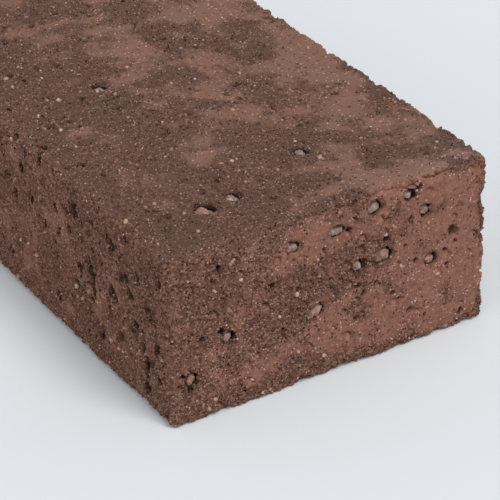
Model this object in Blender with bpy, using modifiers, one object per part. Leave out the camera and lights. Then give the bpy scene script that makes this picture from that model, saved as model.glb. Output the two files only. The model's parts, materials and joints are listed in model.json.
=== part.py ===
"""A fired clay bar: one rectangular body of porous clay, with the pebbles that are fired into it.

+X is the length, +Y the width and +Z is up. The origin is at the centre of the underside.
Each pebble is a solid of its own. It sits in a socket of its own shape, and the socket grips it past its widest
line, so it can't fall out of the open pit that shows it.
"""

import math
import random

import bmesh
import bpy
from mathutils import Matrix, Vector, noise

MM = 0.001

# The body
LENGTH = 210 * MM
WIDTH = 100 * MM
HEIGHT = 51.5 * MM
ARRIS_ROUND = 1.8 * MM  # the rounding of every long and short edge
ARRIS_STEPS = 3

# How a pebble lies in the body
SEAT_GAP = 0.3 * MM  # all round the pebble, where the clay shrank away from it
RECESS = 0.1 * MM  # from the face down to the highest that a pebble's lumps can reach
PIT_SPREAD = 1.0 * MM  # how far the open pit reaches past the pebble on each side
PIT_REACH = 0.45  # the share of the pebble's half thickness that the pit lays bare

# Open pores, which gas left in the clay
PORE_SMALLEST = 0.9 * MM
PORE_LARGEST = 2.0 * MM
PORE_DEPTH = 0.8  # depth of a pore as a share of its radius
PORE_STRETCH = 1.5  # the longest a pore is, in widths
PORE_SPACING = 0.8 * MM  # clay left between two pores, or between a pore and a pit
PORE_MARGIN = 4 * MM  # clay left between a pore and the edge of its face
PORE_TRIES = 400

# Bites out of the edges
CHIP_SMALLEST = 1.5 * MM
CHIP_LARGEST = 3.4 * MM
CHIP_STANDOFF = 0.3  # how far a chip's centre lies outside the edge, in its radii
CHIP_MARGIN = 6 * MM  # clay left between a chip and the corner of the body

# The flat places kept free of pores, one at the centre of each face
PAD_RADIUS = 5 * MM

LUMPINESS = 0.26  # how far a blob's surface strays from an ellipsoid, as a share of its radius
LUMP_SIZE = 1.3  # the width of a lump, in blob radii
BLOB_DETAIL = 2

X, Y, Z = Vector((1, 0, 0)), Vector((0, 1, 0)), Vector((0, 0, 1))
MID = HEIGHT / 2

# Each face: its centre, the directions along and across it, and its length and breadth
FACES = {
    "front_end": (Vector((LENGTH / 2, 0, MID)), Y, Z, WIDTH, HEIGHT),
    "back_end": (Vector((-LENGTH / 2, 0, MID)), -Y, Z, WIDTH, HEIGHT),
    "left_side": (Vector((0, -WIDTH / 2, MID)), X, Z, LENGTH, HEIGHT),
    "right_side": (Vector((0, WIDTH / 2, MID)), -X, Z, LENGTH, HEIGHT),
    "top": (Vector((0, 0, HEIGHT)), X, Y, LENGTH, WIDTH),
    "bottom": (Vector((0, 0, 0)), -X, Y, LENGTH, WIDTH),
}

# Each pebble: its face, its place as shares of the face along and across from the centre,
# its half length, half breadth and half thickness in millimetres, its turn in degrees, and its stone
PEBBLES = {
    "pebble_end_round": ("front_end", 0.14, 0.40, (2.0, 1.9, 1.8), 10, "quartz"),
    "pebble_end_split": ("front_end", 0.25, 0.41, (1.9, 1.4, 1.5), -30, "quartz"),
    "pebble_end_lens": ("front_end", 0.02, 0.34, (2.3, 1.2, 1.3), 5, "quartz"),
    "pebble_end_large": ("front_end", 0.165, 0.10, (2.9, 2.1, 2.0), -10, "grog"),
    "pebble_end_beside_large": ("front_end", 0.085, 0.09, (1.5, 1.4, 1.3), 40, "quartz"),
    "pebble_end_grey": ("front_end", 0.30, 0.29, (1.6, 1.5, 1.4), 0, "quartz"),
    "pebble_end_long": ("front_end", -0.05, -0.10, (3.3, 1.5, 1.6), 33, "grog"),
    "pebble_end_low": ("front_end", -0.32, -0.06, (1.6, 1.3, 1.3), 20, "quartz"),
    "pebble_end_sliver": ("front_end", -0.435, -0.24, (1.8, 0.9, 1.0), 62, "grog"),
    "pebble_end_small": ("front_end", 0.32, -0.02, (1.6, 1.2, 1.2), 15, "grog"),
    "pebble_end_upper": ("front_end", -0.115, 0.33, (1.8, 1.4, 1.4), -20, "quartz"),
    "pebble_top_corner": ("top", 0.412, -0.275, (2.6, 2.0, 1.8), 50, "grog"),
    "pebble_top_pale": ("top", 0.405, -0.18, (2.2, 1.6, 1.5), 0, "quartz"),
    "pebble_top_middle": ("top", 0.355, 0.10, (1.7, 1.3, 1.3), 25, "quartz"),
    "pebble_top_back": ("top", 0.05, -0.17, (2.0, 1.7, 1.6), 70, "quartz"),
    "pebble_left_low": ("left_side", -0.21, -0.20, (2.2, 1.6, 1.5), 15, "quartz"),
    "pebble_right_high": ("right_side", -0.18, 0.16, (2.0, 1.5, 1.5), -25, "grog"),
    "pebble_right_low": ("right_side", 0.27, -0.22, (1.7, 1.4, 1.4), 35, "quartz"),
    "pebble_back_large": ("back_end", -0.13, 0.12, (2.6, 1.9, 1.8), 20, "grog"),
    "pebble_back_small": ("back_end", 0.24, -0.18, (1.7, 1.3, 1.3), -15, "quartz"),
    "pebble_bottom_front": ("bottom", -0.31, 0.16, (2.2, 1.7, 1.6), 5, "quartz"),
    "pebble_bottom_back": ("bottom", 0.22, -0.24, (1.9, 1.5, 1.4), 55, "grog"),
}

# The widest pores: their face, their place as shares of the face, their radius in millimetres and their turn
WIDE_PORES = (
    ("left_side", 0.26, 0.33, 2.6, 80),
    ("left_side", 0.41, -0.07, 2.1, 60),
    ("left_side", 0.30, 0.0, 2.2, 85),
    ("left_side", 0.37, -0.22, 1.9, 50),
    ("left_side", 0.455, 0.08, 1.8, 20),
    ("left_side", 0.38, 0.17, 1.9, 30),
    ("left_side", 0.355, 0.34, 1.8, 70),
    ("top", 0.375, -0.24, 1.6, 40),
    ("top", 0.485, 0.06, 1.3, 0),
    ("top", 0.477, -0.07, 1.3, 30),
    ("front_end", -0.11, -0.06, 1.3, 60),
    ("front_end", 0.165, 0.205, 1.2, 0),
    ("right_side", 0.10, -0.05, 2.2, 75),
    ("right_side", -0.36, 0.10, 2.0, 20),
    ("back_end", 0.10, 0.26, 1.8, 45),
)

# How many more pores are strewn over each face
STREWN_PORES = {
    "front_end": 5,
    "back_end": 7,
    "left_side": 8,
    "right_side": 9,
    "top": 9,
    "bottom": 9,
}

# How many bites each edge has, by the two faces that meet there
CHIPS = {
    ("front_end", "right_side"): 3,
    ("front_end", "left_side"): 2,
    ("front_end", "top"): 2,
    ("front_end", "bottom"): 2,
    ("back_end", "right_side"): 2,
    ("back_end", "left_side"): 2,
    ("back_end", "top"): 2,
    ("back_end", "bottom"): 2,
    ("left_side", "top"): 4,
    ("left_side", "bottom"): 4,
    ("right_side", "top"): 5,
    ("right_side", "bottom"): 4,
}

# Colour, roughness and metallic value of each material
MATERIALS = {
    "fired_clay": ((0.195, 0.095, 0.071), 0.9, 0.0),
    "quartz": ((0.42, 0.33, 0.31), 0.35, 0.0),
    "grog": ((0.40, 0.24, 0.19), 0.8, 0.0),
}


def clear_scene():
    for obj in list(bpy.data.objects):
        bpy.data.objects.remove(obj)


def make_collection(name):
    collection = bpy.data.collections.new(name)
    bpy.context.scene.collection.children.link(collection)
    return collection


def make_material(name):
    colour, roughness, metallic = MATERIALS[name]
    material = bpy.data.materials.new(name)
    material.use_nodes = True
    shader = material.node_tree.nodes["Principled BSDF"]
    shader.inputs["Base Color"].default_value = (*colour, 1)
    shader.inputs["Roughness"].default_value = roughness
    shader.inputs["Metallic"].default_value = metallic
    return material


def place_on(face, along, across, turn=0.0):
    """The matrix of a spot on a face: X and Y lie in the face, and Z points out of the body."""
    centre, right, up, length, breadth = FACES[face]
    out = right.cross(up)
    spot = centre + right * (along * length) + up * (across * breadth)
    axes = Matrix((right, up, out)).transposed().to_4x4()
    return Matrix.Translation(spot) @ axes @ Matrix.Rotation(math.radians(turn), 4, "Z")


def add_blob(mesh, matrix, halves, seed, grow=0.0):
    """Adds a lumpy ellipsoid to the mesh. Grow moves its whole surface out, so that a socket fits its pebble."""
    made = bmesh.ops.create_icosphere(mesh, subdivisions=BLOB_DETAIL, radius=1)
    shift = Vector((seed * 3.7, seed * 1.9, seed * 5.3))
    for vertex in made["verts"]:
        direction = vertex.co.normalized()
        lump = 1 + LUMPINESS * noise.noise(direction / LUMP_SIZE + shift)
        point = Vector(d * half * lump for d, half in zip(direction, halves))
        vertex.co = matrix @ (point + point.normalized() * grow)


def new_object(name, mesh, collection, material=None):
    bmesh.ops.recalc_face_normals(mesh, faces=mesh.faces)
    data = bpy.data.meshes.new(name)
    mesh.to_mesh(data)
    mesh.free()
    obj = bpy.data.objects.new(name, data)
    collection.objects.link(obj)
    if material:
        data.materials.append(material)
    return obj


def pebble_halves(row):
    return [half * MM for half in row[3]]


def pebble_matrix(row):
    """A pebble's place: sunk under its face by its own thickness and the recess."""
    face, along, across, _, turn, _ = row
    thickest = pebble_halves(row)[2] * (1 + LUMPINESS)
    return place_on(face, along, across, turn) @ Matrix.Translation((0, 0, -thickest - RECESS))


def pit_halves(row):
    """The open pit over a pebble: wider than the pebble, and deep enough to lay its upper part bare."""
    length, breadth, thickness = pebble_halves(row)
    deep = RECESS + thickness * (LUMPINESS + PIT_REACH)
    return (length + PIT_SPREAD, breadth + PIT_SPREAD, deep)


def make_pebble(number, name, collection, materials):
    row = PEBBLES[name]
    mesh = bmesh.new()
    add_blob(mesh, Matrix.Identity(4), pebble_halves(row), number)
    pebble = new_object(name, mesh, collection, materials[row[5]])
    pebble.matrix_world = pebble_matrix(row)
    pebble.data.shade_smooth()
    return pebble


def socket_cutter(collection):
    mesh = bmesh.new()
    for number, row in enumerate(PEBBLES.values()):
        add_blob(mesh, pebble_matrix(row), pebble_halves(row), number, SEAT_GAP)
    return new_object("socket_cutter", mesh, collection)


def pit_cutter(collection):
    mesh = bmesh.new()
    for number, row in enumerate(PEBBLES.values()):
        face, along, across, _, turn, _ = row
        add_blob(mesh, place_on(face, along, across, turn), pit_halves(row), number + 0.5)
    return new_object("pit_cutter", mesh, collection)


def spot_in_face(face, along, across):
    """A place on a face in metres from its centre."""
    return Vector((along * FACES[face][3], across * FACES[face][4]))


def taken_spots(face):
    """What a strewn pore keeps clear of: the flat pad, and the pits of the face's pebbles."""
    spots = [(Vector((0, 0)), PAD_RADIUS)]
    for row in PEBBLES.values():
        if row[0] == face:
            spots.append((spot_in_face(face, row[1], row[2]), max(pit_halves(row)[:2])))
    return spots


def pore_reach(radius):
    return radius * PORE_STRETCH * (1 + LUMPINESS)


def strew_pores(face, taken, chance):
    """Random pores on a face, each clear of what is already there."""
    _, _, _, length, breadth = FACES[face]
    rows = []
    for _ in range(PORE_TRIES):
        if len(rows) == STREWN_PORES[face]:
            break
        radius = chance.uniform(PORE_SMALLEST, PORE_LARGEST)
        reach = pore_reach(radius)
        room = Vector((length / 2 - PORE_MARGIN - reach, breadth / 2 - PORE_MARGIN - reach))
        spot = Vector((chance.uniform(-room.x, room.x), chance.uniform(-room.y, room.y)))
        turn = chance.uniform(0, 180)
        if all((spot - other).length > reach + far + PORE_SPACING for other, far in taken):
            taken.append((spot, reach))
            rows.append((face, spot.x / length, spot.y / breadth, radius, turn))
    return rows


def pore_rows():
    """Every open pore: the wide ones as listed, then the strewn ones."""
    chance = random.Random(11)
    rows = [(face, along, across, mm * MM, turn) for face, along, across, mm, turn in WIDE_PORES]
    for face in FACES:
        taken = taken_spots(face)
        for row in rows:
            if row[0] == face:
                taken.append((spot_in_face(face, row[1], row[2]), pore_reach(row[3])))
        rows += strew_pores(face, taken, chance)
    return rows


def pore_cutter(collection):
    chance = random.Random(5)
    mesh = bmesh.new()
    for number, (face, along, across, radius, turn) in enumerate(pore_rows()):
        halves = (radius * chance.uniform(1, PORE_STRETCH), radius, radius * PORE_DEPTH)
        add_blob(mesh, place_on(face, along, across, turn), halves, number + 40)
    return new_object("pore_cutter", mesh, collection)


def edge_between(first, second):
    """The middle, direction, length and outward direction of the edge where two faces meet."""
    out = [FACES[face][1].cross(FACES[face][2]) for face in (first, second)]
    half = Vector((LENGTH, WIDTH, HEIGHT)) / 2
    middle = Vector((0, 0, MID))
    for normal in out:
        middle += Vector(n * h for n, h in zip(normal, half))
    direction = out[0].cross(out[1])
    length = 2 * abs(direction.dot(half))
    return middle, direction, length, (out[0] + out[1]).normalized()


def chip_cutter(collection):
    """Bites spread along the edges, each in its own stretch so that no two of them meet."""
    chance = random.Random(3)
    mesh = bmesh.new()
    for seed, (edge, count) in enumerate(CHIPS.items()):
        middle, direction, length, outward = edge_between(*edge)
        stretch = (length - 2 * CHIP_MARGIN) / count
        for number in range(count):
            radius = chance.uniform(CHIP_SMALLEST, CHIP_LARGEST)
            room = max(stretch / 2 - radius * 2, 0)
            along = (number + 0.5) * stretch + CHIP_MARGIN - length / 2 + chance.uniform(-room, room)
            spot = middle + direction * along + outward * (radius * CHIP_STANDOFF)
            add_blob(mesh, Matrix.Translation(spot), (radius,) * 3, seed * 7 + number + 0.3)
    return new_object("chip_cutter", mesh, collection)


def make_body(collection, cutters, material):
    mesh = bmesh.new()
    bmesh.ops.create_cube(mesh, size=1)
    bmesh.ops.scale(mesh, vec=(LENGTH, WIDTH, HEIGHT), verts=mesh.verts)
    bmesh.ops.translate(mesh, vec=(0, 0, MID), verts=mesh.verts)
    body = new_object("clay_body", mesh, collection, material)
    bevel = body.modifiers.new("rounded_edges", "BEVEL")
    bevel.width = ARRIS_ROUND
    bevel.segments = ARRIS_STEPS
    for cutter in cutters:
        cutter.hide_render = True
        cutter.display_type = "WIRE"
        cut = body.modifiers.new(cutter.name, "BOOLEAN")
        cut.operation = "DIFFERENCE"
        cut.solver = "EXACT"
        cut.use_self = True
        cut.object = cutter
    return body


def main():
    clear_scene()
    parts = make_collection("clay_bar")
    tools = make_collection("cutters")
    materials = {name: make_material(name) for name in MATERIALS}
    cutters = [make(tools) for make in (chip_cutter, pore_cutter, pit_cutter, socket_cutter)]
    make_body(parts, cutters, materials["fired_clay"])
    for number, name in enumerate(PEBBLES):
        make_pebble(number, name, parts, materials)


main()
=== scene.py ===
import json
import math

import bmesh
import bpy
from mathutils import Matrix, Vector

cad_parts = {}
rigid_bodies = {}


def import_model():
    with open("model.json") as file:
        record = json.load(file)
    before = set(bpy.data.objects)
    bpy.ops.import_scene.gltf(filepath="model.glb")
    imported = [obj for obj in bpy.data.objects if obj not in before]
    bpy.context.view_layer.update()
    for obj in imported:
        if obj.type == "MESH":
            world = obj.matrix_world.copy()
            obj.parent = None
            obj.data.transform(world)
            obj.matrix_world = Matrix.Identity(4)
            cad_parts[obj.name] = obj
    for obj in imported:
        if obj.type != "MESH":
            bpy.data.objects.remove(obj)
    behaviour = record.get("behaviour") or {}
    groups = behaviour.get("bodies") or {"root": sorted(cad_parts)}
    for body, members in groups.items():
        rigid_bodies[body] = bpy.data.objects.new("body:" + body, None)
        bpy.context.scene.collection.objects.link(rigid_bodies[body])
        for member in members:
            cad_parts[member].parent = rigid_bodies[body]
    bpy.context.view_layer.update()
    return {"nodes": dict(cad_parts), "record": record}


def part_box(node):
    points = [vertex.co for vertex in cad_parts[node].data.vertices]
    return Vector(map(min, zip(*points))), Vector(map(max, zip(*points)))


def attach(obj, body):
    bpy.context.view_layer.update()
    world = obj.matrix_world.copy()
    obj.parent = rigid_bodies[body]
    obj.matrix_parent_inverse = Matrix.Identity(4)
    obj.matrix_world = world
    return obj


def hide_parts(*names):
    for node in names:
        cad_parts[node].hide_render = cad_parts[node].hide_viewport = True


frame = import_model()
scene = bpy.context.scene
mm = 0.001

low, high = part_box("clay_body")
halfLength = high.x
halfWidth = high.y
height = high.z

# View: a long lens from above the near corner, leaning a little to the left
view = {
    "place": (0.5857, -0.3092, 0.3813),
    "target": (0.0746, -0.0071, 0.0257),
    "lean": -1.8,  # degrees
    "lens": 183.0,
}


def makeCamera():
    camera = bpy.data.objects.new("camera", bpy.data.cameras.new("camera"))
    scene.collection.objects.link(camera)
    camera.data.lens = view["lens"]
    camera.data.clip_start = 0.01
    camera.location = view["place"]
    look = (Vector(view["target"]) - camera.location).to_track_quat("-Z", "Y")
    lean = Matrix.Rotation(math.radians(view["lean"]), 3, "Z").to_quaternion()
    camera.rotation_euler = (look @ lean).to_euler()
    scene.camera = camera


studio = {
    "skyColour": (0.96, 0.985, 1.0),
    "skyStrength": 0.52,
    "lamps": {
        "key": {"from": (0.62, 0.16, 1.0), "strength": 1.8, "softness": 26.0},
        "fill": {"from": (0.55, -0.85, 0.6), "strength": 0.85, "softness": 70.0},
    },  # softness in degrees across
    "lampColour": (1.0, 0.985, 0.96),
    "floorColour": (0.705, 0.735, 0.77),
    "floorSize": 6.0,
}


def makeStudio():
    scene.view_settings.view_transform = "Standard"
    world = bpy.data.worlds.new("studioSky")
    scene.world = world
    world.use_nodes = True
    sky = world.node_tree.nodes["Background"]
    sky.inputs["Color"].default_value = (*studio["skyColour"], 1)
    sky.inputs["Strength"].default_value = studio["skyStrength"]

    for name, rule in studio["lamps"].items():
        lamp = bpy.data.objects.new(name, bpy.data.lights.new(name, "SUN"))
        scene.collection.objects.link(lamp)
        lamp.data.energy = rule["strength"]
        lamp.data.angle = math.radians(rule["softness"])
        lamp.data.color = studio["lampColour"]
        lamp.rotation_euler = Vector(rule["from"]).to_track_quat("Z", "Y").to_euler()

    size = studio["floorSize"] / 2
    corners = [(-size, -size, 0), (size, -size, 0), (size, size, 0), (-size, size, 0)]
    mesh = bpy.data.meshes.new("floor")
    mesh.from_pydata(corners, [], [(0, 1, 2, 3)])
    floor = bpy.data.objects.new("floor", mesh)
    scene.collection.objects.link(floor)
    paper = bpy.data.materials.new("whitePaper")
    paper.use_nodes = True
    shader = paper.node_tree.nodes["Principled BSDF"]
    shader.inputs["Base Color"].default_value = (*studio["floorColour"], 1)
    shader.inputs["Roughness"].default_value = 0.85
    shader.inputs["Specular IOR Level"].default_value = 0.2
    mesh.materials.append(paper)


# Small helpers for node trees: each returns an output socket

def addNode(tree, kind, inputs=None, **settings):
    node = tree.nodes.new(kind)
    for name, value in settings.items():
        setattr(node, name, value)
    for name, value in (inputs or {}).items():
        if isinstance(value, bpy.types.NodeSocket):
            tree.links.new(value, node.inputs[name])
        else:
            node.inputs[name].default_value = value
    return node


def calc(tree, operation, a, b=0.0, c=0.0):
    return addNode(tree, "ShaderNodeMath", {0: a, 1: b, 2: c}, operation=operation).outputs[0]


def step(tree, value, start, end, least=0.0, most=1.0):
    # a soft step from least to most as value goes from start to end
    inputs = {"Value": value, "From Min": start, "From Max": end, "To Min": least, "To Max": most}
    return addNode(tree, "ShaderNodeMapRange", inputs, interpolation_type="SMOOTHSTEP").outputs[0]


def noise(tree, place, size, seed=0.0, detail=2.0, roughness=0.5):
    inputs = {"Vector": place, "W": seed, "Scale": 1 / size, "Detail": detail, "Roughness": roughness}
    return addNode(tree, "ShaderNodeTexNoise", inputs, noise_dimensions="4D").outputs[0]


def swing(tree, value, amount):
    # noise about zero: from minus amount to amount
    return calc(tree, "MULTIPLY", calc(tree, "SUBTRACT", value, 0.5), calc(tree, "MULTIPLY", amount, 2.0))


def stretched(tree, place, factors):
    return addNode(tree, "ShaderNodeVectorMath", {0: place, 1: factors}, operation="MULTIPLY").outputs[0]


def newTree(name, inputs):
    # a Geometry Nodes tree with named inputs; gives the tree, its group input and its output socket
    tree = bpy.data.node_groups.new(name, "GeometryNodeTree")
    face = tree.interface
    face.new_socket("Geometry", in_out="INPUT", socket_type="NodeSocketGeometry")
    face.new_socket("Geometry", in_out="OUTPUT", socket_type="NodeSocketGeometry")
    for label, value in inputs.items():
        kind = "NodeSocketInt" if isinstance(value, int) else "NodeSocketFloat"
        if isinstance(value, bpy.types.Material):
            kind = "NodeSocketMaterial"
        if isinstance(value, bpy.types.Object):
            kind = "NodeSocketObject"
        face.new_socket(label, in_out="INPUT", socket_type=kind).default_value = value
    start = tree.nodes.new("NodeGroupInput").outputs
    end = tree.nodes.new("NodeGroupOutput").inputs[0]
    return tree, start, end


def addTree(piece, tree, values):
    modifier = piece.modifiers.new(tree.name, "NODES")
    modifier.node_group = tree
    for item in tree.interface.items_tree:
        if item.in_out == "INPUT" and item.name in values:
            modifier[item.identifier] = values[item.name]


def settled(piece, name):
    # the piece's shape with every modifier done, as a plain mesh
    graph = bpy.context.evaluated_depsgraph_get()
    mesh = bpy.data.meshes.new_from_object(piece.evaluated_get(graph))
    mesh.name = name
    return mesh


def addPiece(name, mesh, slot, *nodes):
    mesh.shade_smooth()
    mesh.set_sharp_from_angle(angle=math.radians(55))
    piece = bpy.data.objects.new(name, mesh)
    scene.collection.objects.link(piece)
    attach(piece, "root")
    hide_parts(*nodes)
    return piece


def mergedCopy(node, name):
    # a CAD node's mesh as one joined surface, on an object of its own
    mesh = bmesh.new()
    mesh.from_mesh(frame["nodes"][node].data)
    bmesh.ops.remove_doubles(mesh, verts=mesh.verts, dist=0.001 * mm)
    data = bpy.data.meshes.new(name)
    mesh.to_mesh(data)
    mesh.free()
    piece = bpy.data.objects.new(name, data)
    scene.collection.objects.link(piece)
    return piece


# Where a point lies on the bar, for the relief and for the colour alike

def depths(tree, place):
    # how far a point is from the end, the long side and the bed that it is nearest to
    centred = addNode(tree, "ShaderNodeVectorMath", {0: place, 1: (0, 0, -height / 2)}, operation="ADD")
    split = addNode(tree, "ShaderNodeSeparateXYZ", {0: centred.outputs[0]}).outputs
    halves = (halfLength, halfWidth, height / 2)
    return [calc(tree, "SUBTRACT", half, calc(tree, "ABSOLUTE", axis)) for half, axis in zip(halves, split)]


def skinDepth(tree, deep):
    return calc(tree, "MINIMUM", calc(tree, "MINIMUM", deep[0], deep[1]), deep[2])


def arrisDistance(tree, deep):
    # the middle one of the three depths: small only along an arris
    smaller = calc(tree, "MINIMUM", deep[0], deep[1])
    larger = calc(tree, "MAXIMUM", deep[0], deep[1])
    return calc(tree, "MAXIMUM", smaller, calc(tree, "MINIMUM", larger, deep[2]))


# Sandy zones are gritty and pale; between them the clay is smeared smooth
sandyZones = {
    "size": 15 * mm,
    "start": 0.40,
    "end": 0.60,
    "bedExtra": 0.05,
    "bottomBand": 9 * mm,
    "arrisBand": 7 * mm,
    "nearSide": 0.10,  # how much sandier the ends get towards the -Y side
}


def sandiness(tree, place, deep):
    split = addNode(tree, "ShaderNodeSeparateXYZ", {0: place}).outputs
    patches = noise(tree, place, sandyZones["size"], seed=2.0, detail=4.0, roughness=0.6)
    low = step(tree, split[2], sandyZones["bottomBand"], 0.0, 0.0, 0.14)
    edge = step(tree, arrisDistance(tree, deep), sandyZones["arrisBand"], 0.0, 0.0, 0.10)
    side = calc(tree, "MULTIPLY", split[1], -sandyZones["nearSide"] / halfWidth)
    bed = step(tree, deep[2], 1.5 * mm, 0.5 * mm, 0.0, sandyZones["bedExtra"])
    total = calc(
        tree, "ADD", calc(tree, "ADD", patches, low), calc(tree, "ADD", edge, calc(tree, "ADD", side, bed)),
    )
    return step(tree, total, sandyZones["start"], sandyZones["end"])


def gritNoise(tree, place):
    return noise(tree, place, 0.95 * mm, seed=6.0, detail=2.0, roughness=0.7)


# Gas pores: bubbles cut out of each pair of faces
gasPores = {
    "sides": {
        "axis": 1, "perSquareMetre": 85000, "smallest": 0.3 * mm, "largest": 1.7 * mm, "bias": 2.6,
        "stretch": 2.3, "depth": 1.7, "seed": 3,
    },
    "beds": {
        "axis": 2, "perSquareMetre": 42000, "smallest": 0.3 * mm, "largest": 1.15 * mm, "bias": 2.2,
        "stretch": 1.4, "depth": 1.9, "seed": 7,
    },
    "ends": {
        "axis": 0, "perSquareMetre": 60000, "smallest": 0.28 * mm, "largest": 1.15 * mm, "bias": 2.2,
        "stretch": 1.4, "depth": 1.9, "seed": 12,
    },
}


def poreSet(tree, skin, label, start):
    # bubbles on one pair of faces, stretched upright on the sides and ends
    rule = gasPores[label]
    seed = rule["seed"]
    points = addNode(
        tree, "GeometryNodeDistributePointsOnFaces",
        {"Mesh": skin, "Density": start[label + " density"], "Seed": seed},
    )
    place = tree.nodes.new("GeometryNodeInputPosition").outputs[0]
    onFace = calc(tree, "LESS_THAN", depths(tree, place)[rule["axis"]], 0.02 * mm)
    crowd = step(tree, noise(tree, place, 22 * mm, seed=seed), 0.35, 0.62, 0.25, 1.0)
    chance = addNode(tree, "FunctionNodeRandomValue", {"Seed": seed + 1}, data_type="FLOAT").outputs[1]
    kept = calc(tree, "MULTIPLY", onFace, calc(tree, "LESS_THAN", chance, crowd))
    dice = addNode(tree, "FunctionNodeRandomValue", {"Seed": seed + 2}, data_type="FLOAT").outputs[1]
    spread = calc(tree, "POWER", dice, rule["bias"])
    growth = {0: spread, 3: rule["smallest"], 4: start[label + " largest"]}
    radius = addNode(tree, "ShaderNodeMapRange", growth).outputs[0]
    longer = addNode(
        tree, "FunctionNodeRandomValue", {"Seed": seed + 3, 2: 1.0, 3: rule["stretch"]}, data_type="FLOAT",
    ).outputs[1]
    size = [radius, radius, radius]
    size[rule["axis"]] = calc(tree, "MULTIPLY", radius, rule["depth"])
    longAxis = 0 if rule["axis"] == 2 else 2
    size[longAxis] = calc(tree, "MULTIPLY", radius, longer)
    scale = addNode(tree, "ShaderNodeCombineXYZ", {0: size[0], 1: size[1], 2: size[2]}).outputs[0]
    tilt = addNode(
        tree, "FunctionNodeRandomValue", {"Seed": seed + 4, 2: -0.45, 3: 0.45}, data_type="FLOAT",
    ).outputs[1]
    if rule["axis"] == 2:
        tilt = calc(tree, "MULTIPLY", tilt, 7.0)
    turn = addNode(tree, "ShaderNodeCombineXYZ", {rule["axis"]: tilt}).outputs[0]
    bubble = addNode(tree, "GeometryNodeMeshIcoSphere", {"Radius": 1.0, "Subdivisions": 2}).outputs[0]
    inputs = {
        "Points": points.outputs[0], "Selection": kept, "Instance": bubble, "Rotation": turn,
        "Scale": scale,
    }
    return addNode(tree, "GeometryNodeInstanceOnPoints", inputs).outputs[0]


def gasPoreTree():
    inputs = {}
    for label, rule in gasPores.items():
        inputs[label + " density"] = float(rule["perSquareMetre"])
        inputs[label + " largest"] = rule["largest"]
    tree, start, end = newTree("gasPores", inputs)
    bubbles = tree.nodes.new("GeometryNodeJoinGeometry")
    for label in gasPores:
        tree.links.new(poreSet(tree, start["Geometry"], label, start), bubbles.inputs[0])
    solid = addNode(tree, "GeometryNodeRealizeInstances", {0: bubbles.outputs[0]}).outputs[0]
    place = tree.nodes.new("GeometryNodeInputPosition").outputs[0]
    wobble = addNode(
        tree, "ShaderNodeTexNoise", {"Vector": place, "Scale": 1 / (1.1 * mm), "Detail": 1.0},
    ).outputs["Color"]
    middle = addNode(
        tree, "ShaderNodeVectorMath", {0: wobble, 1: (-0.5, -0.5, -0.5)}, operation="ADD",
    ).outputs[0]
    offset = addNode(
        tree, "ShaderNodeVectorMath", {0: middle, "Scale": 1.6 * mm}, operation="SCALE",
    ).outputs[0]
    rough = addNode(tree, "GeometryNodeSetPosition", {"Geometry": solid, "Offset": offset}).outputs[0]
    cut = addNode(
        tree, "GeometryNodeMeshBoolean", {"Mesh 1": start["Geometry"], "Mesh 2": rough},
        operation="DIFFERENCE", solver="MANIFOLD",
    )
    tree.links.new(cut.outputs[0], end)
    return tree


# Relief of the fired skin, in metres
relief = {
    "Wave": 0.45 * mm,  # the slow bulges of a hand-size face
    "Lump": 0.5 * mm,
    "Grit": 1.15 * mm,  # sand that stands out of the sandy zones
    "Drag": 0.2 * mm,  # upright lines that the cutting wire left on the ends
    "Ragged": 2.4 * mm,  # how deep the arrises have crumbled
    "Dome": 0.3 * mm,  # stones just under the skin
    "Crack": 0.8 * mm,  # and the shrinkage crack beside each
    "Lining": 0.6 * mm,  # how torn the clay is around the pebbles
}
buriedStones = {
    "spacing": 5.2 * mm, "share": 0.55, "smallest": 0.6 * mm, "largest": 1.6 * mm,
    "crackSide": (0.1, 0.75, 0.65),
}


def buriedStone(tree, place):
    # domes over buried stones, and a crack around the far upper side of each
    rule = buriedStones
    spacing = rule["spacing"]
    cells = addNode(tree, "ShaderNodeTexVoronoi", {"Vector": place, "Scale": 1 / spacing})
    pick = addNode(tree, "ShaderNodeSeparateXYZ", {0: cells.outputs["Color"]}).outputs
    chosen = calc(tree, "LESS_THAN", pick[0], rule["share"])
    wobble = swing(tree, noise(tree, place, 1.5 * mm, seed=17.0, detail=2.0), 0.7 * mm)
    reach = calc(tree, "ADD", calc(tree, "MULTIPLY", cells.outputs["Distance"], spacing), wobble)
    radius = step(tree, pick[1], 0.0, 1.0, rule["smallest"], rule["largest"])
    past = calc(tree, "SUBTRACT", reach, radius)
    dome = calc(tree, "MULTIPLY", chosen, step(tree, past, 0.0, -0.8 * mm))
    ring = calc(
        tree, "MULTIPLY", step(tree, past, -0.15 * mm, 0.1 * mm), step(tree, past, 0.6 * mm, 0.2 * mm),
    )
    away = addNode(
        tree, "ShaderNodeVectorMath", {0: place, 1: cells.outputs["Position"]}, operation="SUBTRACT",
    ).outputs[0]
    facing = addNode(
        tree, "ShaderNodeVectorMath", {0: away, 1: rule["crackSide"]}, operation="DOT_PRODUCT",
    ).outputs["Value"]
    crack = calc(tree, "MULTIPLY", calc(tree, "MULTIPLY", chosen, ring), step(tree, facing, 0.0, 0.8 * mm))
    return dome, crack


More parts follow.
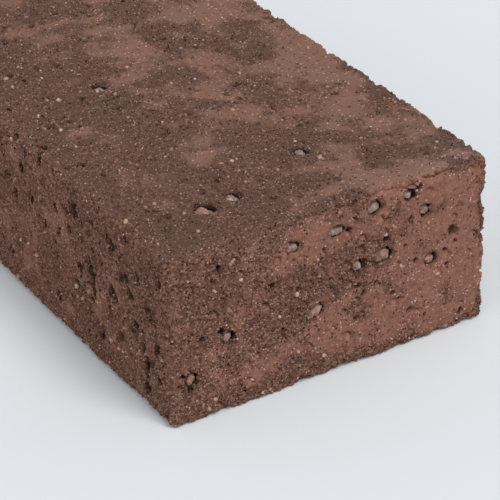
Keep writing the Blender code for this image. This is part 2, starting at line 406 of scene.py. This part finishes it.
def reliefTree():
    tree, start, end = newTree("clayRelief", {**relief, "Pebbles": bpy.data.objects["pebbleField"]})
    place = tree.nodes.new("GeometryNodeInputPosition").outputs[0]
    normal = tree.nodes.new("GeometryNodeInputNormal").outputs[0]
    deep = depths(tree, place)
    sandy = sandiness(tree, place, deep)
    smear = calc(tree, "SUBTRACT", 1.0, sandy)
    wave = swing(tree, noise(tree, place, 32 * mm, seed=1.0, detail=1.0), start["Wave"])
    lump = swing(tree, noise(tree, place, 4.5 * mm, seed=4.0, detail=3.0, roughness=0.6), start["Lump"])
    gritHeight = calc(tree, "MULTIPLY", start["Grit"], step(tree, sandy, 0.0, 1.0, 0.45, 1.0))
    grit = swing(tree, gritNoise(tree, place), gritHeight)
    lines = noise(tree, stretched(tree, place, (1.0, 1.0, 0.08)), 1.5 * mm, seed=9.0, detail=2.0)
    onEnd = step(tree, deep[0], 1.5 * mm, 0.4 * mm)
    dragHeight = calc(
        tree, "MULTIPLY", calc(tree, "MULTIPLY", start["Drag"], onEnd),
        step(tree, smear, 0.0, 1.0, 0.4, 1.0),
    )
    drag = swing(tree, lines, dragHeight)
    near = step(tree, arrisDistance(tree, deep), 3.4 * mm, 0.6 * mm)
    bites = step(tree, noise(tree, place, 3.4 * mm, seed=13.0, detail=4.0, roughness=0.7), 0.44, 0.66)
    across = addNode(tree, "ShaderNodeSeparateXYZ", {0: place}).outputs[1]
    worse = step(tree, across, -halfWidth, 0.8 * halfWidth, -0.35, -1.0)  # most along the +Y side
    ragged = calc(
        tree, "MULTIPLY", calc(tree, "MULTIPLY", near, bites),
        calc(tree, "MULTIPLY", start["Ragged"], worse),
    )
    dome, crack = buriedStone(tree, place)
    onSkin = step(tree, skinDepth(tree, deep), 0.6 * mm, 0.2 * mm)
    domeHeight = calc(tree, "MULTIPLY", calc(tree, "MULTIPLY", dome, onSkin), start["Dome"])
    crackDepth = calc(
        tree, "MULTIPLY", calc(tree, "MULTIPLY", crack, onSkin),
        calc(tree, "MULTIPLY", start["Crack"], -1.0),
    )
    field = addNode(tree, "GeometryNodeObjectInfo", {0: start["Pebbles"]}).outputs["Geometry"]
    gap = addNode(tree, "GeometryNodeProximity", {0: field}, target_element="FACES").outputs["Distance"]
    torn = step(tree, noise(tree, place, 1.6 * mm, seed=19.0, detail=3.0, roughness=0.65), 0.36, 0.62)
    lining = calc(
        tree, "MULTIPLY", calc(tree, "MULTIPLY", step(tree, gap, 2.4 * mm, 0.5 * mm), torn),
        calc(tree, "MULTIPLY", start["Lining"], -1.0),
    )
    shape = grit
    for part in (drag, domeHeight, crackDepth, lining):
        shape = calc(tree, "ADD", shape, part)
    total = shape
    for part in (wave, lump, ragged):
        total = calc(tree, "ADD", total, part)
    offset = addNode(tree, "ShaderNodeVectorMath", {0: normal, "Scale": total}, operation="SCALE").outputs[0]
    moved = addNode(
        tree, "GeometryNodeSetPosition", {"Geometry": start["Geometry"], "Offset": offset},
    ).outputs[0]
    inMillimetres = calc(tree, "MULTIPLY", shape, 1 / mm)
    marked = addNode(
        tree, "GeometryNodeStoreNamedAttribute",
        {"Geometry": moved, "Name": "standing", "Value": inMillimetres}, data_type="FLOAT", domain="POINT",
    ).outputs[0]
    tree.links.new(marked, end)
    return tree


# Pinholes: the finest pores, cut last so that their rims stay crisp
pinholes = {
    "Density": 70000.0,  # per square metre
    "Smallest": 0.16 * mm,
    "Largest": 0.42 * mm,
}


def pinholeTree():
    tree, start, end = newTree("pinholes", {**pinholes, "Clay": bpy.data.materials["firedClay"]})
    points = addNode(
        tree, "GeometryNodeDistributePointsOnFaces",
        {"Mesh": start["Geometry"], "Density": start["Density"], "Seed": 21},
    ).outputs[0]
    dice = addNode(tree, "FunctionNodeRandomValue", {"Seed": 22}, data_type="FLOAT").outputs[1]
    radius = step(tree, calc(tree, "POWER", dice, 2.0), 0.0, 1.0, start["Smallest"], start["Largest"])
    turn = addNode(
        tree, "FunctionNodeRandomValue", {"Seed": 23, 1: (6.3, 6.3, 6.3)}, data_type="FLOAT_VECTOR",
    ).outputs[0]
    bubble = addNode(tree, "GeometryNodeMeshIcoSphere", {"Radius": 1.0, "Subdivisions": 1}).outputs[0]
    inputs = {"Points": points, "Instance": bubble, "Rotation": turn, "Scale": radius}
    bubbles = addNode(tree, "GeometryNodeInstanceOnPoints", inputs).outputs[0]
    solid = addNode(tree, "GeometryNodeRealizeInstances", {0: bubbles}).outputs[0]
    marked = addNode(
        tree, "GeometryNodeStoreNamedAttribute", {"Geometry": solid, "Name": "pinhole", "Value": 1.0},
        data_type="FLOAT", domain="POINT",
    ).outputs[0]
    cut = addNode(
        tree, "GeometryNodeMeshBoolean", {"Mesh 1": start["Geometry"], "Mesh 2": marked},
        operation="DIFFERENCE", solver="MANIFOLD",
    ).outputs[0]
    done = addNode(tree, "GeometryNodeSetMaterial", {"Geometry": cut, "Material": start["Clay"]}).outputs[0]
    tree.links.new(done, end)
    return tree


def sliceTree():
    # keeps the stretch of the bar between two places along its length
    tree, start, end = newTree("barSlice", {"From": -halfLength, "To": halfLength})
    length = calc(tree, "SUBTRACT", start["To"], start["From"])
    middle = calc(tree, "MULTIPLY", calc(tree, "ADD", start["To"], start["From"]), 0.5)
    size = addNode(tree, "ShaderNodeCombineXYZ", {0: length, 1: 4 * halfWidth, 2: 4 * height}).outputs[0]
    place = addNode(tree, "ShaderNodeCombineXYZ", {0: middle}).outputs[0]
    cube = addNode(tree, "GeometryNodeMeshCube", {"Size": size}).outputs[0]
    moved = addNode(tree, "GeometryNodeTransform", {"Geometry": cube, "Translation": place}).outputs[0]
    cut = addNode(
        tree, "GeometryNodeMeshBoolean", {"Mesh 2": moved}, operation="INTERSECT", solver="MANIFOLD",
    )
    tree.links.new(start["Geometry"], cut.inputs["Mesh 2"])
    tree.links.new(cut.outputs[0], end)
    return tree


clayBody = {
    "voxel": 0.32 * mm,
    "quickVoxel": 0.6 * mm,
    "smoothing": 2,
    "mostTriangles": 1150000,
    "slices": 8,
    "endSlice": 19 * mm,
}


def pebbleField():
    # every pebble in one mesh, for the clay to be torn around
    field = bmesh.new()
    for node, part in frame["nodes"].items():
        if node != "clay_body":
            field.from_mesh(part.data)
    mesh = bpy.data.meshes.new("pebbleField")
    field.to_mesh(mesh)
    field.free()
    piece = bpy.data.objects.new("pebbleField", mesh)
    scene.collection.objects.link(piece)
    return piece


def makeClay():
    stonesInPlace = pebbleField()
    block = mergedCopy("clay_body", "clayBlock")
    addTree(block, gasPoreTree(), {})
    remesh = block.modifiers.new("oneSkin", "REMESH")
    remesh.mode = "VOXEL"
    remesh.voxel_size = clayBody["voxel"]
    soften = block.modifiers.new("soften", "SMOOTH")
    soften.factor = 0.5
    soften.iterations = clayBody["smoothing"]
    addTree(block, reliefTree(), {})
    mesh = settled(block, "clayFine")
    count = 2 * len(mesh.polygons)
    print("clay skin:", count, "triangles")
    block.modifiers.clear()
    bpy.data.objects.remove(stonesInPlace)
    block.data = mesh
    thin = block.modifiers.new("thin", "DECIMATE")
    thin.ratio = min(1.0, clayBody["mostTriangles"] / count)
    addTree(block, pinholeTree(), {})
    block.data = settled(block, "clayThinned")
    block.modifiers.clear()
    mesh = block.data
    print("clay body:", sum(len(p.vertices) - 2 for p in mesh.polygons), "triangles")
    return block


def sliceClay(block):
    tree = sliceTree()
    inner = clayBody["slices"] - 2
    reach = halfLength - clayBody["endSlice"]
    edges = [-reach + 2 * reach * n / inner for n in range(inner + 1)]
    edges = [-halfLength - 5 * mm, *edges, halfLength + 5 * mm]
    for number, (start, end) in enumerate(zip(edges, edges[1:]), 1):
        block.modifiers.clear()
        addTree(block, tree, {"From": start, "To": end})
        mesh = settled(block, f"clayBody{number}")
        piece = addPiece(f"clayBody{number}", mesh, "fired_clay", "clay_body")
        print(piece.name, sum(len(p.vertices) - 2 for p in mesh.polygons), "triangles")
    bpy.data.objects.remove(block)


# Materials

def newMaterial(name):
    material = bpy.data.materials.new(name)
    material.use_nodes = True
    tree = material.node_tree
    shader = tree.nodes["Principled BSDF"]
    place = tree.nodes.new("ShaderNodeTexCoord").outputs["Object"]
    return tree, shader, place


def blend(tree, amount, first, second, mode="MIX"):
    node = tree.nodes.new("ShaderNodeMix")
    node.data_type = "RGBA"
    node.blend_type = mode
    node.clamp_result = True
    sockets = {"Factor": node.inputs[0], "A": node.inputs[6], "B": node.inputs[7]}
    for value, socket in ((amount, sockets["Factor"]), (first, sockets["A"]), (second, sockets["B"])):
        if isinstance(value, bpy.types.NodeSocket):
            tree.links.new(value, socket)
        elif isinstance(value, tuple):
            socket.default_value = (*value, 1)
        else:
            socket.default_value = value
    return node.outputs[2]


firedClay = {
    "dark": (0.192, 0.079, 0.051),
    "middle": (0.232, 0.098, 0.064),
    "pale": (0.300, 0.145, 0.100),
    "sandy": (0.430, 0.210, 0.148),
    # hollow: colour of the painted shade in the low spots of the relief
    "hollow": (0.085, 0.036, 0.025),
    # topGrey: partly a grey bloom on the clay, partly painted sheen on the top face
    "topGrey": (0.215, 0.115, 0.083),
    # poreDark: colour of the painted shade inside pores and pinholes
    "poreDark": (0.030, 0.014, 0.010),
    "speck": (0.54, 0.34, 0.265),
    "blackSpeck": (0.040, 0.018, 0.013),
    "fresh": (0.340, 0.170, 0.118),
    "bloom": (0.36, 0.29, 0.26),
}


def specks(tree, place, size, share, reach, seed):
    # scattered dots: share of the cells that have one, and its radius in cells
    shifted = addNode(
        tree, "ShaderNodeVectorMath", {0: place, 1: (seed * mm, 0, 0)}, operation="ADD",
    ).outputs[0]
    cells = addNode(tree, "ShaderNodeTexVoronoi", {"Vector": shifted, "Scale": 1 / size})
    pick = addNode(tree, "ShaderNodeSeparateXYZ", {0: cells.outputs["Color"]}).outputs
    chosen = calc(tree, "LESS_THAN", pick[0], share)
    radius = step(tree, pick[1], 0.0, 1.0, reach * 0.5, reach)
    dot = calc(tree, "LESS_THAN", cells.outputs["Distance"], radius)
    return calc(tree, "MULTIPLY", chosen, dot)


def makeClayMaterial():
    tree, shader, place = newMaterial("firedClay")
    deep = depths(tree, place)
    sandy = sandiness(tree, place, deep)
    skin = skinDepth(tree, deep)
    arris = arrisDistance(tree, deep)
    patches = step(tree, noise(tree, place, 9 * mm, seed=31.0, detail=4.0, roughness=0.6), 0.34, 0.66)
    mottle = step(tree, noise(tree, place, 2.2 * mm, seed=33.0, detail=3.0, roughness=0.65), 0.30, 0.72)
    colour = blend(tree, patches, firedClay["dark"], firedClay["middle"])
    colour = blend(tree, calc(tree, "MULTIPLY", mottle, 0.55), colour, firedClay["middle"])
    lines = noise(tree, stretched(tree, place, (1.0, 1.0, 0.07)), 1.3 * mm, seed=9.0, detail=2.0)
    onEnd = step(tree, deep[0], 1.6 * mm, 0.5 * mm)
    streak = calc(tree, "MULTIPLY", step(tree, lines, 0.45, 0.75), onEnd)
    colour = blend(tree, calc(tree, "MULTIPLY", streak, 0.35), colour, firedClay["pale"])
    fine = noise(tree, place, 0.55 * mm, seed=51.0, detail=3.0, roughness=0.85)
    standing = addNode(tree, "ShaderNodeAttribute", attribute_name="standing").outputs["Fac"]
    both = calc(tree, "ADD", standing, calc(tree, "MULTIPLY", calc(tree, "SUBTRACT", fine, 0.5), 1.9))
    amount = step(tree, sandy, 0.0, 1.0, 0.45, 1.0)
    raised = calc(tree, "MULTIPLY", amount, step(tree, both, 0.0, 0.26))
    # sunkShade: painted shade, strongest where the relief and the fine noise sink lowest
    sunkShade = calc(tree, "MULTIPLY", amount, step(tree, both, -0.12, -0.42))
    colour = blend(tree, raised, colour, firedClay["sandy"])
    split = addNode(tree, "ShaderNodeSeparateXYZ", {0: place}).outputs
    # greyer patches on the top face: partly grey bloom on the clay, partly painted sheen of the bright sky
    # above
    onTop = step(tree, split[2], height - 1.3 * mm, height - 0.3 * mm)
    topPatches = step(
        tree, noise(tree, place, 14 * mm, seed=41.0, detail=4.0, roughness=0.6), 0.30, 0.60, 0.35, 0.9,
    )
    colour = blend(tree, calc(tree, "MULTIPLY", onTop, topPatches), colour, firedClay["topGrey"])
    worn = calc(
        tree, "MULTIPLY", step(tree, arris, 3.5 * mm, 1.2 * mm),
        step(tree, noise(tree, place, 1.1 * mm, seed=47.0, detail=3.0, roughness=0.7), 0.42, 0.62),
    )
    colour = blend(tree, calc(tree, "MULTIPLY", worn, 0.75), colour, firedClay["fresh"])
    dust = step(tree, noise(tree, place, 0.7 * mm, seed=44.0, detail=2.0, roughness=0.8), 0.40, 0.70)
    bloomCorner = calc(
        tree, "MULTIPLY", step(tree, split[0], 0.78 * halfLength, halfLength),
        step(tree, split[1], 0.45 * halfWidth, halfWidth),
    )
    bloom = calc(tree, "MULTIPLY", calc(tree, "MULTIPLY", bloomCorner, onTop), dust)
    colour = blend(tree, calc(tree, "MULTIPLY", bloom, 0.7), colour, firedClay["bloom"])
    # painted shade: the low spots of the relief are darkened towards the hollow colour
    colour = blend(tree, calc(tree, "MULTIPLY", sunkShade, 0.8), colour, firedClay["hollow"])
    paleShare = step(tree, sandy, 0.0, 1.0, 0.12, 0.42)
    colour = blend(tree, specks(tree, place, 0.62 * mm, paleShare, 0.42, 0.0), colour, firedClay["speck"])
    colour = blend(
        tree, specks(tree, place, 0.85 * mm, step(tree, sandy, 0.0, 1.0, 0.12, 0.36), 0.38, 37.0), colour,
        firedClay["blackSpeck"],
    )
    # painted shade inside the pores: clay more than about a millimetre below the skin, and the walls of the
    # pinholes, are darkened
    inPore = calc(
        tree, "MULTIPLY", step(tree, skin, 0.6 * mm, 1.5 * mm), step(tree, arris, 1.5 * mm, 3.0 * mm),
    )
    pinhole = addNode(tree, "ShaderNodeAttribute", attribute_name="pinhole").outputs["Fac"]
    hollow = calc(tree, "MAXIMUM", calc(tree, "MULTIPLY", inPore, 0.9), calc(tree, "MULTIPLY", pinhole, 0.8))
    colour = blend(tree, hollow, colour, firedClay["poreDark"])
    tree.links.new(colour, shader.inputs["Base Color"])
    roughness = step(tree, sandy, 0.0, 1.0, 0.72, 0.95)
    tree.links.new(roughness, shader.inputs["Roughness"])
    shader.inputs["Specular IOR Level"].default_value = 0.35
    strength = step(tree, sandy, 0.0, 1.0, 0.4, 1.0)
    bump = addNode(tree, "ShaderNodeBump", {"Height": fine, "Strength": strength, "Distance": 2.0 * mm})
    tree.links.new(bump.outputs[0], shader.inputs["Normal"])


# Loose-looking sand and small stones that stand out of the skin
sandGrains = {
    "paleSand": {
        "slot": "quartz", "Density": 105000.0, "Smallest": 0.14 * mm, "Largest": 0.36 * mm, "Seed": 61,
        "sandyShare": 1.0, "smoothShare": 0.3,
    },
    "grogBits": {
        "slot": "grog", "Density": 15000.0, "Smallest": 0.3 * mm, "Largest": 0.75 * mm, "Seed": 71,
        "sandyShare": 1.0, "smoothShare": 0.5,
    },
}


def grainTree(material):
    tree, start, end = newTree(
        "sandGrains",
        {
            "Density": 1.0, "Smallest": 1.0, "Largest": 1.0, "Sandy share": 1.0, "Smooth share": 1.0,
            "Seed": 1, "Stone": material,
        },
    )
    points = addNode(
        tree, "GeometryNodeDistributePointsOnFaces",
        {"Mesh": start["Geometry"], "Density": start["Density"], "Seed": start["Seed"]},
    )
    place = tree.nodes.new("GeometryNodeInputPosition").outputs[0]
    deep = depths(tree, place)
    sandy = sandiness(tree, place, deep)
    onSkin = calc(tree, "LESS_THAN", skinDepth(tree, deep), 0.9 * mm)
    share = addNode(
        tree, "ShaderNodeMapRange", {0: sandy, 3: start["Smooth share"], 4: start["Sandy share"]},
    ).outputs[0]
    chance = addNode(tree, "FunctionNodeRandomValue", {"Seed": 3}, data_type="FLOAT").outputs[1]
    kept = calc(tree, "MULTIPLY", onSkin, calc(tree, "LESS_THAN", chance, share))
    dice = addNode(tree, "FunctionNodeRandomValue", {"Seed": 4}, data_type="FLOAT").outputs[1]
    radius = step(tree, calc(tree, "POWER", dice, 2.5), 0.0, 1.0, start["Smallest"], start["Largest"])
    shape = addNode(
        tree, "FunctionNodeRandomValue", {"Seed": 5, 0: (0.65, 0.65, 0.65), 1: (1.3, 1.3, 1.3)},
        data_type="FLOAT_VECTOR",
    ).outputs[0]
    scale = addNode(tree, "ShaderNodeVectorMath", {0: shape, "Scale": radius}, operation="SCALE").outputs[0]
    turn = addNode(
        tree, "FunctionNodeRandomValue", {"Seed": 6, 1: (6.3, 6.3, 6.3)}, data_type="FLOAT_VECTOR",
    ).outputs[0]
    ball = addNode(tree, "GeometryNodeMeshIcoSphere", {"Radius": 1.0, "Subdivisions": 1}).outputs[0]
    inputs = {
        "Points": points.outputs[0], "Selection": kept, "Instance": ball, "Rotation": turn, "Scale": scale,
    }
    grains = addNode(tree, "GeometryNodeInstanceOnPoints", inputs).outputs[0]
    tint = addNode(tree, "FunctionNodeRandomValue", {"Seed": 7}, data_type="FLOAT").outputs[1]
    tinted = addNode(
        tree, "GeometryNodeStoreNamedAttribute", {"Geometry": grains, "Name": "tint", "Value": tint},
        data_type="FLOAT", domain="INSTANCE",
    ).outputs[0]
    solid = addNode(tree, "GeometryNodeRealizeInstances", {0: tinted}).outputs[0]
    done = addNode(
        tree, "GeometryNodeSetMaterial", {"Geometry": solid, "Material": start["Stone"]},
    ).outputs[0]
    tree.links.new(done, end)
    return tree


grainColours = {
    "dark": (0.20, 0.095, 0.066),
    "middle": (0.34, 0.185, 0.138),
    "pale": (0.50, 0.35, 0.29),
}


def makeGrainMaterial():
    tree, shader, place = newMaterial("sandGrain")
    tint = addNode(tree, "ShaderNodeAttribute", attribute_name="tint").outputs["Fac"]
    colour = blend(tree, step(tree, tint, 0.0, 0.55), grainColours["dark"], grainColours["middle"])
    colour = blend(tree, step(tree, tint, 0.55, 1.0), colour, grainColours["pale"])
    spots = step(tree, noise(tree, place, 0.3 * mm, seed=3.0), 0.35, 0.65, 0.0, 0.4)
    colour = blend(tree, spots, colour, grainColours["middle"])
    tree.links.new(colour, shader.inputs["Base Color"])
    shader.inputs["Roughness"].default_value = 0.6


def makeGrains():
    material = bpy.data.materials["sandGrain"]
    tree = grainTree(material)
    slices = [o for o in scene.objects if o.name.startswith("clayBody")]
    for piece in slices:
        number = piece.name[-1]
        for name, rule in sandGrains.items():
            host = bpy.data.objects.new("host", piece.data)
            scene.collection.objects.link(host)
            values = {key: rule[key] for key in ("Density", "Smallest", "Largest", "Seed")}
            values.update({"Sandy share": rule["sandyShare"], "Smooth share": rule["smoothShare"]})
            values["Seed"] += int(number)
            addTree(host, tree, values)
            grains = addPiece(name + number, settled(host, name + number), rule["slot"], "clay_body")
            bpy.data.objects.remove(host)
            print(grains.name, len(grains.data.polygons), "triangles")


# The pebbles, each roughened and swollen to touch its socket
pebbleSkin = {
    "Swell": 0.22 * mm,
    "Lean": 0.5 * mm,  # each lies against the lower left of its socket
    "Chip": 0.9 * mm,  # broad broken faces
    "Rough": 0.8 * mm,
    "Detail": 3,
}


def pebbleTree():
    tree, start, end = newTree("pebbleSkin", pebbleSkin)
    fine = addNode(
        tree, "GeometryNodeSubdivisionSurface", {"Mesh": start["Geometry"], "Level": start["Detail"]},
    ).outputs[0]
    place = tree.nodes.new("GeometryNodeInputPosition").outputs[0]
    normal = tree.nodes.new("GeometryNodeInputNormal").outputs[0]
    cells = addNode(tree, "ShaderNodeTexVoronoi", {"Vector": place, "Scale": 1 / (2.6 * mm)})
    chip = calc(tree, "MULTIPLY", calc(tree, "SUBTRACT", 0.45, cells.outputs["Distance"]), start["Chip"])
    rough = swing(tree, noise(tree, place, 0.8 * mm, seed=2.0, detail=3.0, roughness=0.6), start["Rough"])
    total = calc(tree, "ADD", calc(tree, "ADD", chip, rough), start["Swell"])
    offset = addNode(tree, "ShaderNodeVectorMath", {0: normal, "Scale": total}, operation="SCALE").outputs[0]
    lean = addNode(
        tree, "ShaderNodeVectorMath", {0: (-0.3, -0.75, -0.6), "Scale": start["Lean"]}, operation="SCALE",
    ).outputs[0]
    offset = addNode(tree, "ShaderNodeVectorMath", {0: offset, 1: lean}, operation="ADD").outputs[0]
    moved = addNode(tree, "GeometryNodeSetPosition", {"Geometry": fine, "Offset": offset}).outputs[0]
    tree.links.new(moved, end)
    return tree


stones = {
    "quartz": {
        "base": (0.26, 0.165, 0.140), "vein": (0.46, 0.37, 0.345), "stain": (0.125, 0.058, 0.042),
        "roughness": 0.38,
    },
    "grog": {
        "base": (0.29, 0.155, 0.118), "vein": (0.42, 0.28, 0.235), "stain": (0.135, 0.060, 0.043),
        "roughness": 0.65,
    },
}


def makeStoneMaterials():
    for name, look in stones.items():
        tree, shader, place = newMaterial(name + "Stone")
        veins = step(tree, noise(tree, place, 1.6 * mm, seed=5.0, detail=4.0, roughness=0.6), 0.42, 0.68)
        stains = step(tree, noise(tree, place, 1.9 * mm, seed=8.0, detail=4.0, roughness=0.7), 0.50, 0.68)
        colour = blend(tree, veins, look["base"], look["vein"])
        colour = blend(tree, calc(tree, "MULTIPLY", stains, 0.8), colour, look["stain"])
        smear = step(tree, noise(tree, place, 1.1 * mm, seed=12.0, detail=3.0, roughness=0.7), 0.48, 0.60)
        colour = blend(tree, calc(tree, "MULTIPLY", smear, 0.75), colour, firedClay["middle"])
        tree.links.new(colour, shader.inputs["Base Color"])
        shader.inputs["Roughness"].default_value = look["roughness"]
        fine = noise(tree, place, 0.4 * mm, seed=9.0, detail=3.0, roughness=0.6)
        bump = addNode(tree, "ShaderNodeBump", {"Height": fine, "Strength": 0.5, "Distance": 0.1 * mm})
        tree.links.new(bump.outputs[0], shader.inputs["Normal"])


def makePebbles():
    tree = pebbleTree()
    slots = {row["node"]: row["material_slot"] for row in frame["record"]["subparts"]}
    for node, slot in slots.items():
        if node == "clay_body":
            continue
        pebble = mergedCopy(node, "pebble")
        addTree(pebble, tree, {})
        mesh = settled(pebble, node + "Stone")
        bpy.data.objects.remove(pebble)
        mesh.materials.clear()
        mesh.materials.append(bpy.data.materials[slot + "Stone"])
        addPiece(node + "Stone", mesh, slot, node)
    print("pebbles:", len(slots) - 1)


makeCamera()
makeStudio()
makeClayMaterial()
makeGrainMaterial()
makeStoneMaterials()
sliceClay(makeClay())
makeGrains()
makePebbles()
